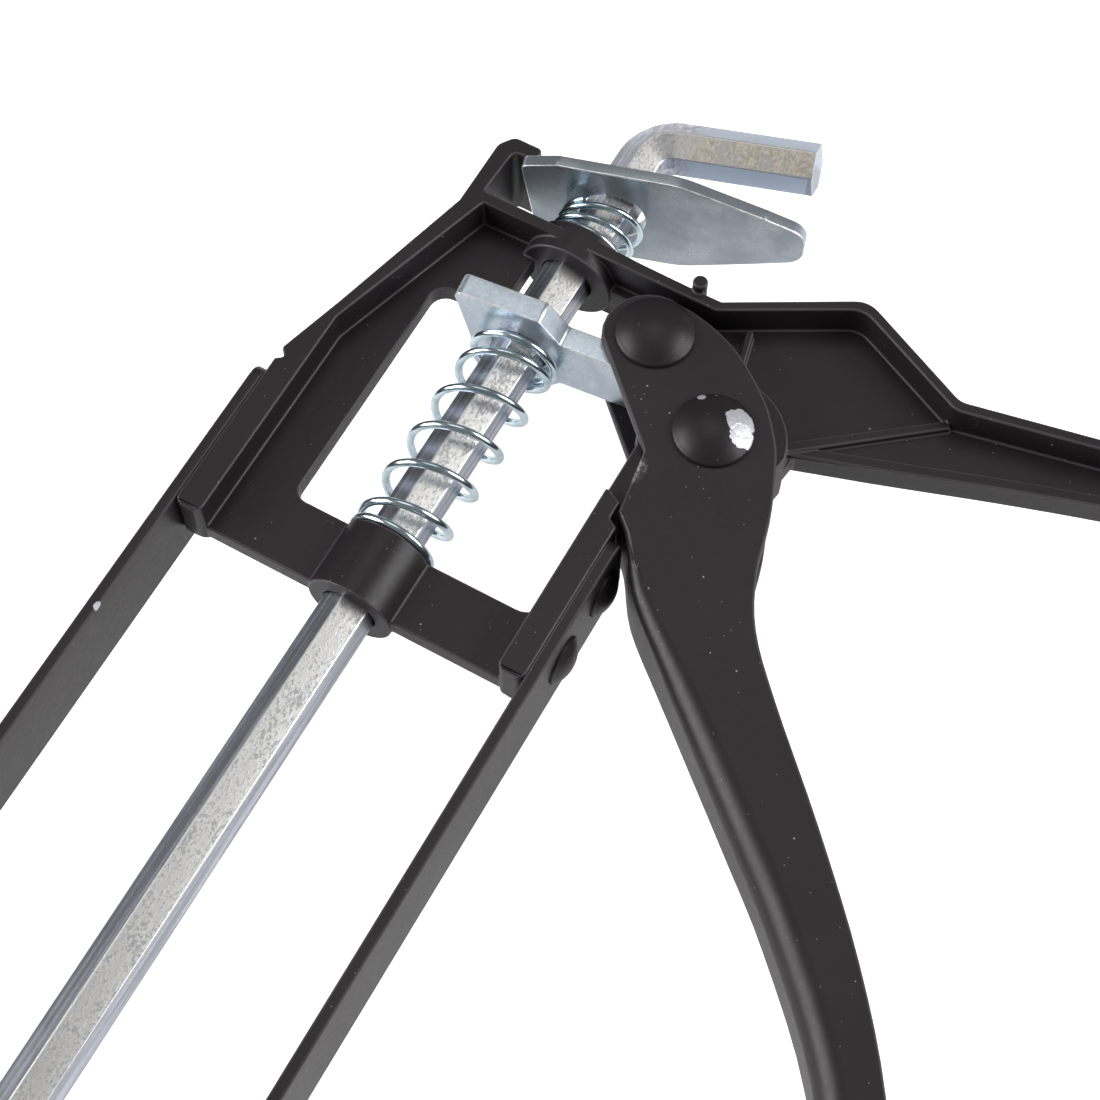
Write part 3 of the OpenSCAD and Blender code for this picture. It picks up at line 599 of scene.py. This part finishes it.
def row_tree():
    """One piece repeated along a row."""
    tree, given = geometry_tree("Rivet Row", [
        ("Piece", "NodeSocketObject"), ("First", "NodeSocketVector"), ("Step", "NodeSocketVector"),
        ("Count", "NodeSocketInt"), ("Turn", "NodeSocketVector"), ("Material", "NodeSocketMaterial")])
    line = node(tree, "GeometryNodeMeshLine", {"mode": "OFFSET"},
                {"Count": given("Count"), "Start Location": given("First"), "Offset": given("Step")})
    piece = node(tree, "GeometryNodeObjectInfo", {"transform_space": "ORIGINAL"},
                 {"Object": given("Piece")}, 4)
    turned = node(tree, "FunctionNodeEulerToRotation", {}, {0: given("Turn")})
    placed = node(tree, "GeometryNodeInstanceOnPoints", {},
                  {"Points": line, "Instance": piece, "Rotation": turned})
    close_tree(tree, placed, given("Material"))
    return tree


def rivet_row(name, node_name, outward, profile, key):
    """The two rivets of a CAD node, whose axis is Y, as one mesh."""
    low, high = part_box(node_name)
    r = (high.z - low.z) / 2
    face = high.y if outward > 0 else low.y
    piece = link("pattern", lathe(profile))
    row = grow(name, bpy.data.node_groups.get("Rivet Row") or row_tree(), {
        "Piece": piece, "First": (low.x + r, face, 0.0), "Step": (high.x - low.x - 2 * r, 0.0, 0.0),
        "Count": 2, "Turn": (-outward * math.pi / 2, 0.0, 0.0), "Material": material(key)})
    bpy.data.objects.remove(piece)
    return smooth(row, 35)


# ---- operators -----------------------------------------------------------------

class GUN_OT_casting(bpy.types.Operator):
    """Builds the cast handle with its rounded arrises and rim fillets"""
    bl_idname = "gun.casting"
    bl_label = "Casting"

    def execute(self, context):
        sizes = context.scene.gun_sizes
        obj = bevelled(merged_copy("handle_casting", 0.1 * MM), sizes.cast_edge, 3)
        finish_piece(smooth(obj), "frame", "coat", "black_coat", "handle_casting")
        return {"FINISHED"}


class GUN_OT_cradle(bpy.types.Operator):
    """Builds the two rails and the nozzle plate"""
    bl_idname = "gun.cradle"
    bl_label = "Cradle"

    def execute(self, context):
        sizes = context.scene.gun_sizes
        for name in ("left_rail", "right_rail", "nozzle_plate"):
            obj = bevelled(merged_copy(name), sizes.strap_edge, 2)
            finish_piece(smooth(obj), "frame", "coat", "black_coat", name)
        return {"FINISHED"}


class GUN_OT_rivets(bpy.types.Operator):
    """Builds the rivets of the rails and the two big rivets of the trigger"""
    bl_idname = "gun.rivets"
    bl_label = "Rivets"

    def execute(self, context):
        for name in ("right_rail_rivets", "right_tab_rivets"):
            low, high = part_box(name)
            r = (high.z - low.z) / 2
            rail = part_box("right_rail")[1].y
            h = high.y - rail
            depth = rail - low.y
            profile = [(a, b - h) for a, b in dome_profile(r, h, (r * 0.54, -depth))]
            row = rivet_row("look_" + name, name, 1, profile, "coat")
            finish_piece(row, "frame", "coat", "black_coat", name)
        for name in ("left_rail_rivets", "left_tab_rivets"):
            low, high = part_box(name)
            r = (high.z - low.z) / 2
            depth = high.y - low.y
            shank = r * 2 / 3
            profile = [(0, 0), (r * 0.94, 0), (r, -0.08 * MM), (shank, -MM), (shank, -depth),
                       (0, -depth)]
            row = rivet_row("look_" + name, name, -1, profile, "coat")
            finish_piece(row, "frame", "coat", "black_coat", name)
        for name, body in (("pivot_rivet", "frame"), ("drive_pin", "lever")):
            low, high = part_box(name)
            centre = (low + high) / 2
            r = (high.x - low.x) / 2
            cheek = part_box("trigger")[1].z + 0.05 * MM
            h = high.z - cheek
            shank = (3.0 if name == "pivot_rivet" else 2.5) * MM
            cap = dome_profile(r, h, (shank, 0.0))[:-2]
            top = [(a, b + cheek) for a, b in cap]
            obj = link("look_" + name, lathe(top + [(a, -b) for a, b in reversed(top)], 96))
            obj.data.transform(Matrix.Translation((centre.x, centre.y, 0)))
            finish_piece(smooth(obj, 40), body, "rivet_coat", "chipped_rivet", name)
        return {"FINISHED"}


class GUN_OT_trigger(bpy.types.Operator):
    """Builds the folded sheet trigger with its wide front folds"""
    bl_idname = "gun.trigger"
    bl_label = "Trigger"

    FOLD_START = 16.9 * MM      # from the pivot rivet to the cheeks' corner, along X
    FOLD_GROWTH = 26 * MM       # length over which the folds' round reaches its full size
    FIRST_SHARE = 0.1           # share of the round at the corner
    FORWARD = (0.76, -0.65)     # way that the front wall faces
    SAME_LEVEL = 0.01 * MM

    def execute(self, context):
        sizes = context.scene.gun_sizes
        obj = merged_copy("trigger")
        self.mark_folds(obj)
        bevelled(obj, sizes.fold_edge, 12, weights=True)
        for layer in ("bevel_weight_edge", "edge"):
            if obj.data.attributes.get(layer):
                obj.data.attributes.remove(obj.data.attributes[layer])
        bevelled(obj, sizes.cheek_edge, 2, angle=62)
        finish_piece(smooth(obj, 28), "lever", "trigger_coat", "black_coat", "trigger")
        return {"FINISHED"}

    def mark_folds(self, obj):
        """Gives bevel weight to the outer arrises of the lever's front wall, rising to full."""
        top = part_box("trigger")[1].z
        start = middle("pivot_rivet").x + self.FOLD_START
        bm = bmesh.new()
        bm.from_mesh(obj.data)
        weight = bm.edges.layers.float.new("bevel_weight_edge")
        for edge in bm.edges:
            if len(edge.link_faces) != 2:
                continue
            if min(abs(abs(v.co.z) - top) for v in edge.verts) > self.SAME_LEVEL:
                continue
            flat = [f for f in edge.link_faces if abs(f.normal.z) > 0.9]
            wall = [f for f in edge.link_faces if abs(f.normal.z) < 0.1]
            rise = abs(edge.verts[0].co.z - edge.verts[1].co.z)
            if not flat or not wall or rise > self.SAME_LEVEL:
                continue
            n = wall[0].normal
            near = min(v.co.x for v in edge.verts)
            if n.x * self.FORWARD[0] + n.y * self.FORWARD[1] > 0.55 and near > start:
                edge[weight] = min(1.0, self.FIRST_SHARE + (near - start) / self.FOLD_GROWTH)
        bm.to_mesh(obj.data)
        bm.free()


class GUN_OT_rod(bpy.types.Operator):
    """Builds the push rod with its hook, the push plate, the washer and the nut"""
    bl_idname = "gun.rod"
    bl_label = "Push rod"

    FLATS = 7 * MM              # across the hexagon's flats
    ROLL = math.radians(8)
    BEND_AT = -84 * MM          # where the hook's bend starts
    BEND_RADIUS = 5.5 * MM
    HOOK_TURN = math.radians(77)
    HOOK_ARM = 21 * MM
    BEND_STEPS = 28
    STUD_RADIUS = 2.5 * MM
    STUD_OUT = 1.5 * MM         # stud beyond its nut
    SHOULDER_BACK = 8.9 * MM    # push plate's front ring to the rod's shoulder

    def execute(self, context):
        sizes = context.scene.gun_sizes
        obj = smooth(bevelled(self.bar(), sizes.rod_edge, 2, angle=40))
        # The attribute "broad" marks the up-facing faces. The rod's material paints the other faces
        # darker as painted shade.
        broad = obj.data.attributes.new("broad", "FLOAT", "FACE")
        broad.data.foreach_set("value", [float(abs(f.normal.z) > 0.85) for f in obj.data.polygons])
        finish_piece(obj, "rod", "rod_zinc", "rod_zinc", "push_rod")
        for name in ("push_plate", "plate_washer", "plate_nut"):
            obj = bevelled(merged_copy(name), sizes.rod_edge * 0.7, 2, angle=25)
            finish_piece(smooth(obj), "rod", "plate_zinc", "plate_zinc", name)
        return {"FINISHED"}

    def bar(self):
        """The hexagon bar, swept along its line and round the hook's bend, with its stud."""
        low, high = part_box("push_rod")
        bend, start, turn, steps = self.BEND_RADIUS, self.BEND_AT, self.HOOK_TURN, self.BEND_STEPS
        corner = self.FLATS / math.sqrt(3)
        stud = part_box("plate_nut")[1].x + self.STUD_OUT
        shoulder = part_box("push_plate")[1].x - self.SHOULDER_BACK
        path = [(shoulder, 0.0, 0.0)] + [
            (start - bend * math.sin(turn * i / steps), bend * (1 - math.cos(turn * i / steps)),
             turn * i / steps) for i in range(steps + 1)]
        path.append((path[-1][0] - self.HOOK_ARM * math.cos(turn),
                     path[-1][1] + self.HOOK_ARM * math.sin(turn), turn))
        tilt = Matrix.Rotation(self.ROLL, 4, "X")
        bm = bmesh.new()
        rings = []
        for x, y, a in path:
            side = Vector((math.sin(a), math.cos(a), 0.0))
            spokes = [math.pi / 6 + math.pi / 3 * k for k in range(6)]
            rings.append([bm.verts.new(tilt @ (Vector((x, y, 0.0)) + corner * math.cos(s) * side
                                               + Vector((0, 0, corner * math.sin(s))))) for s in spokes])
        for a, b in zip(rings, rings[1:]):
            for k in range(6):
                bm.faces.new((a[k], a[(k + 1) % 6], b[(k + 1) % 6], b[k]))
        bm.faces.new(rings[0])
        bm.faces.new(rings[-1][::-1])
        pin = bmesh.ops.create_cone(bm, cap_ends=True, segments=32, radius1=self.STUD_RADIUS,
                                    radius2=self.STUD_RADIUS, depth=stud - shoulder + MM)["verts"]
        middle_x = (stud + shoulder - MM) / 2
        bmesh.ops.transform(bm, verts=pin, matrix=Matrix.Translation((middle_x, 0, 0))
                            @ Matrix.Rotation(math.pi / 2, 4, "Y"))
        bmesh.ops.recalc_face_normals(bm, faces=bm.faces)
        mesh = bpy.data.meshes.new("bar")
        bm.to_mesh(mesh)
        bm.free()
        return link("look_push_rod", mesh)


class GUN_OT_plates(bpy.types.Operator):
    """Builds the drive plate and the catch plate, with a painted highlight on their rounded punched
    edges
    """
    bl_idname = "gun.plates"
    bl_label = "Grip plates"

    def execute(self, context):
        sizes = context.scene.gun_sizes
        for name, body in (("drive_plate", "drive"), ("catch_plate", "catch")):
            obj = bevelled(merged_copy(name), sizes.plate_edge, 2)
            key = "catch_zinc_shaded" if name == "catch_plate" else "plate_zinc"
            finish_piece(smooth(obj), body, key, "plate_zinc", name)
        return {"FINISHED"}


class GUN_OT_springs(bpy.types.Operator):
    """Builds the return spring and the catch spring from one spring rule"""
    bl_idname = "gun.springs"
    bl_label = "Springs"

    EASE = 0.5                  # turns over which the coil opens up
    BOSS_GAP = 0.12 * MM
    RINGS_PER_TURN = 72
    SPRINGS = (
        dict(name="return_spring", wire=1.2 * MM, across=13.5 * MM, turns=6.9, close=1.0, flat=0.6,
             end=220, lean=5.7, joint="drive_plate_slide", anchor=-10.2 * MM, keep=0.66),
        dict(name="catch_spring", wire=1.0 * MM, across=12.6 * MM, turns=3.5, close=0.4, flat=0.5,
             end=300, lean=17.2, joint="catch_hinge", anchor=-66 * MM, keep=0.62),
    )

    def execute(self, context):
        tree = spring_tree()
        for spring in self.SPRINGS:
            self.spring(tree, **spring)
        return {"FINISHED"}

    def spring(self, tree, name, wire, across, turns, close, flat, end, lean, joint, anchor, keep):
        """One spring. Its fixed end bears on the boss at anchor."""
        shut = wire * 1.08
        stop = anchor - wire / 2 - self.BOSS_GAP
        start = self.start(name, wire, across, lean)
        reach = stop - start
        pitch = (reach - shut * (close + self.EASE / 2)) / (turns - close - flat - self.EASE)
        obj = grow("look_" + name, tree, {
            "Start": start, "Length": reach, "Radius": (across - wire) / 2, "Wire": wire,
            "Turns": turns, "Close": close, "Flat": flat, "Shut": shut, "Pitch": pitch,
            "Ease": self.EASE, "Lean": math.tan(math.radians(lean)),
            "End Angle": math.radians(end), "Rings": int(turns * self.RINGS_PER_TURN),
            "Material": material("wire_zinc")})
        finish_piece(smooth(obj, 60), "frame", "wire_zinc", "spring_zinc", name)
        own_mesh(obj)

    def start(self, name, wire, across, lean):
        """Where the wire's middle starts on the rod's axis, from the CAD spring's own box."""
        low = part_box(name)[0].x
        slope = math.tan(math.radians(lean))
        return low + wire / 2 + slope * (across - wire) / 2


class GUN_OT_stage(bpy.types.Operator):
    """Sets the pale floor, the soft lights and the camera"""
    bl_idname = "gun.stage"
    bl_label = "Stage"

    FLOOR_HALF = 3.0
    FLOOR_GAP = 0.3 * MM
    WORLD_LIGHT = 0.17
    LIGHTS_AIM = (-0.02, 0.03, 0.0)
    CAMERA_AT = (105.9 * MM, 90.65 * MM, 295.1 * MM)
    CAMERA_AZIMUTH = math.radians(29.24)
    CAMERA_ELEVATION = math.radians(63.78)
    CAMERA_ANGLE = math.radians(26.1731)

    def execute(self, context):
        scene = context.scene
        scene.view_settings.view_transform = "Standard"
        scene.view_settings.look = "None"
        low = CAD_BOX[0]
        mesh = bpy.data.meshes.new("floor")
        half = self.FLOOR_HALF
        z = low[2] - self.FLOOR_GAP
        mesh.from_pydata([(-half, -half, z), (half, -half, z), (half, half, z), (-half, half, z)], [],
                         [(0, 1, 2, 3)])
        floor = link("floor", mesh)
        floor.data.materials.append(material("floor"))
        world = bpy.data.worlds.new("studio")
        world.use_nodes = True
        background = world.node_tree.nodes["Background"]
        background.inputs["Color"].default_value = rgba(WHITE)
        background.inputs["Strength"].default_value = self.WORLD_LIGHT
        scene.world = world
        self.light("left_softbox", az=-62, el=24, far=0.75, size=0.5, power=5.0)
        self.light("right_softbox", az=116, el=30, far=0.75, size=0.5, power=4.2)
        self.light("top_softbox", az=209, el=70, far=0.9, size=0.5, power=0.8)
        self.camera(scene)
        return {"FINISHED"}

    def light(self, name, az, el, far, size, power):
        """A square soft light that looks at the gun's middle from azimuth az, elevation el."""
        lamp = bpy.data.lights.new(name, "AREA")
        lamp.size = size
        lamp.energy = power
        obj = bpy.data.objects.new(name, lamp)
        bpy.context.scene.collection.objects.link(obj)
        away = direction(math.radians(az), math.radians(el))
        obj.location = Vector(self.LIGHTS_AIM) + away * far
        obj.rotation_euler = away.to_track_quat("Z", "Y").to_euler()

    def camera(self, scene):
        away = direction(self.CAMERA_AZIMUTH, self.CAMERA_ELEVATION)
        right = Vector((0, 0, 1)).cross(away).normalized()
        up = away.cross(right)
        cam = bpy.data.cameras.new("camera")
        cam.angle = self.CAMERA_ANGLE
        cam.clip_start = 0.01
        obj = bpy.data.objects.new("camera", cam)
        scene.collection.objects.link(obj)
        turn = Matrix((right, up, away)).transposed().to_4x4()
        obj.matrix_world = Matrix.Translation(self.CAMERA_AT) @ turn
        scene.camera = obj


OPERATORS = (GUN_OT_casting, GUN_OT_cradle, GUN_OT_rivets, GUN_OT_trigger, GUN_OT_rod, GUN_OT_plates,
             GUN_OT_springs, GUN_OT_stage)


class GUN_PT_panel(bpy.types.Panel):
    """Lists the gun's sizes, colours and build steps"""
    bl_idname = "GUN_PT_panel"
    bl_label = "Caulking Gun"
    bl_space_type = "VIEW_3D"
    bl_region_type = "UI"
    bl_category = "Caulking Gun"

    def draw(self, context):
        layout = self.layout
        for group in (context.scene.gun_sizes, context.scene.gun_colours):
            for key in group.bl_rna.properties.keys():
                if key not in ("rna_type", "name"):
                    layout.prop(group, key)
        for op in OPERATORS:
            layout.operator(op.bl_idname)


def register():
    for cls in (GunSizes, GunColours, GUN_PT_panel) + OPERATORS:
        bpy.utils.register_class(cls)
    bpy.types.Scene.gun_sizes = PointerProperty(type=GunSizes)
    bpy.types.Scene.gun_colours = PointerProperty(type=GunColours)


def unregister():
    del bpy.types.Scene.gun_sizes
    del bpy.types.Scene.gun_colours
    for cls in reversed((GunSizes, GunColours, GUN_PT_panel) + OPERATORS):
        bpy.utils.unregister_class(cls)


def main():
    register()
    for op in OPERATORS:
        group, name = op.bl_idname.split(".")
        getattr(getattr(bpy.ops, group), name)()


if __name__ == "__main__":
    main()
